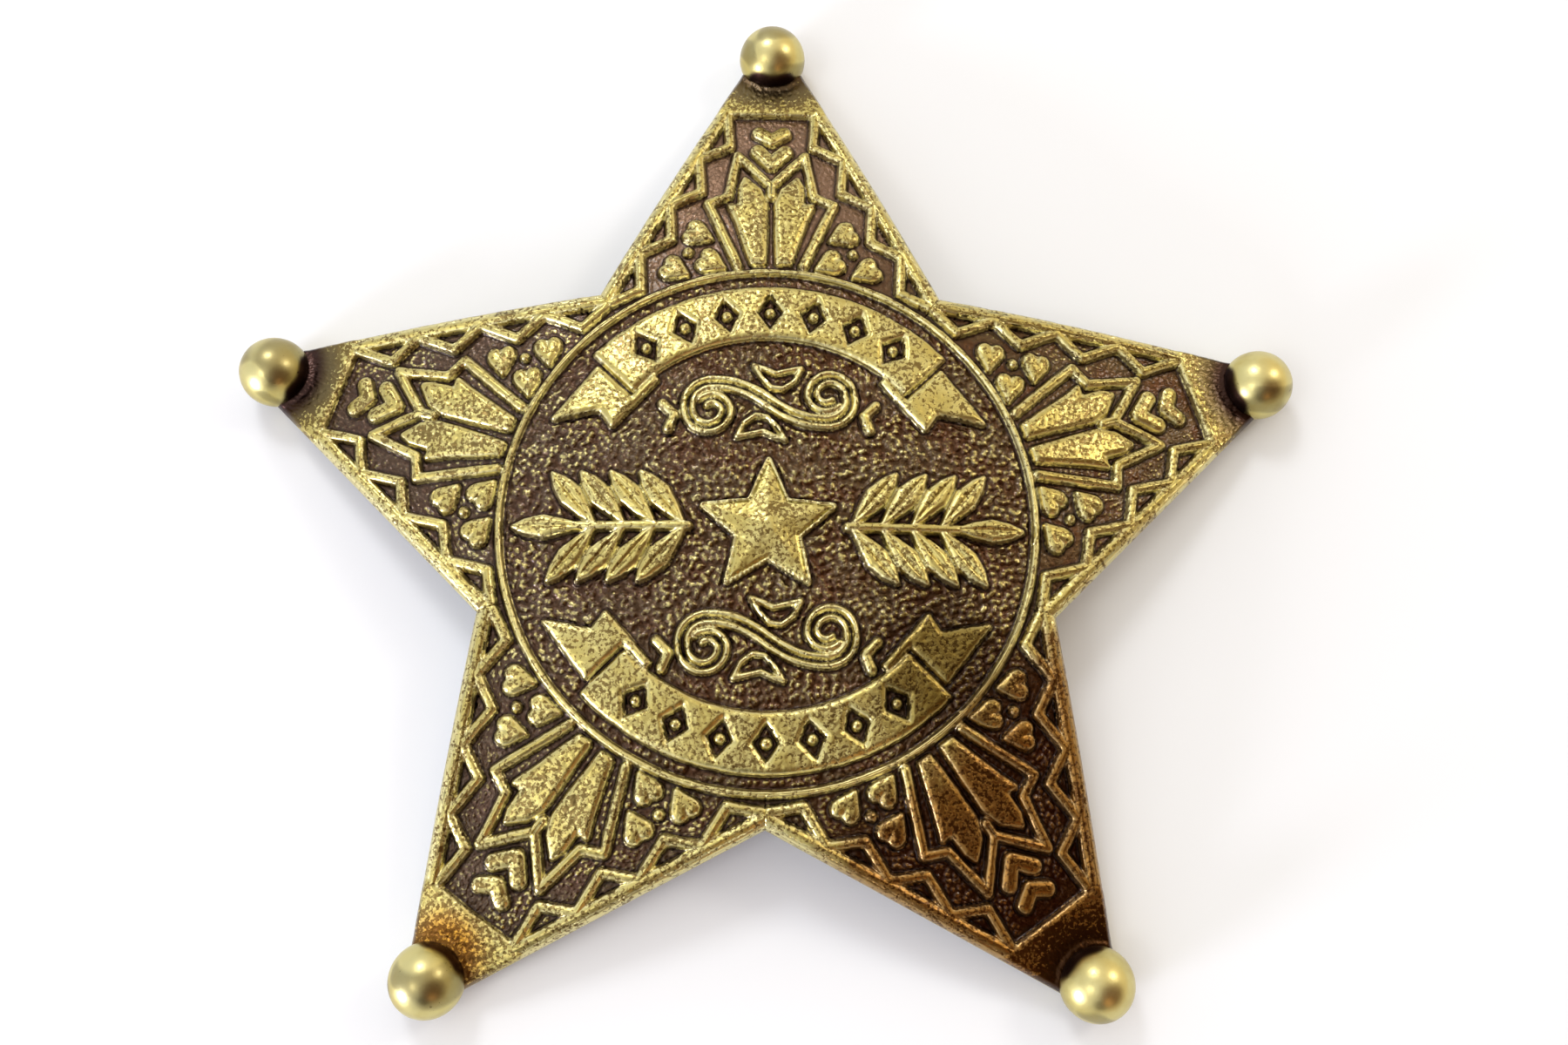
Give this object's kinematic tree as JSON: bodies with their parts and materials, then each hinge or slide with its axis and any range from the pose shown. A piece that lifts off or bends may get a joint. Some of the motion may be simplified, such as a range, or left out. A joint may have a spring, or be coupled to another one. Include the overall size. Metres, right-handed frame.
{
  "type": "sheriff star badge",
  "caption": "Domed cast star badge with a ball on each arm, raised ornament inside a rim, a ringed medallion with ribbons and scrolls, and a brooch pin on the back.",
  "frame": {"origin": "centre of the object's box in plan, on the surface that its five balls rest on", "axes": "+Z out of the badge's face, +Y towards the top arm, +X towards the wearer's left seen from the front"},
  "size_m": [0.0732, 0.07, 0.0076],
  "materials": {
    "antique_brass": "cast, darkened in the recesses and worn pale gold on the raised lines",
    "pin_steel": "drawn wire and sheet, dull nickel plating"
  },
  "bodies": {
    "root": {"star": "antique_brass", "brooch_pin": "pin_steel"}
  },
  "joints": []
}
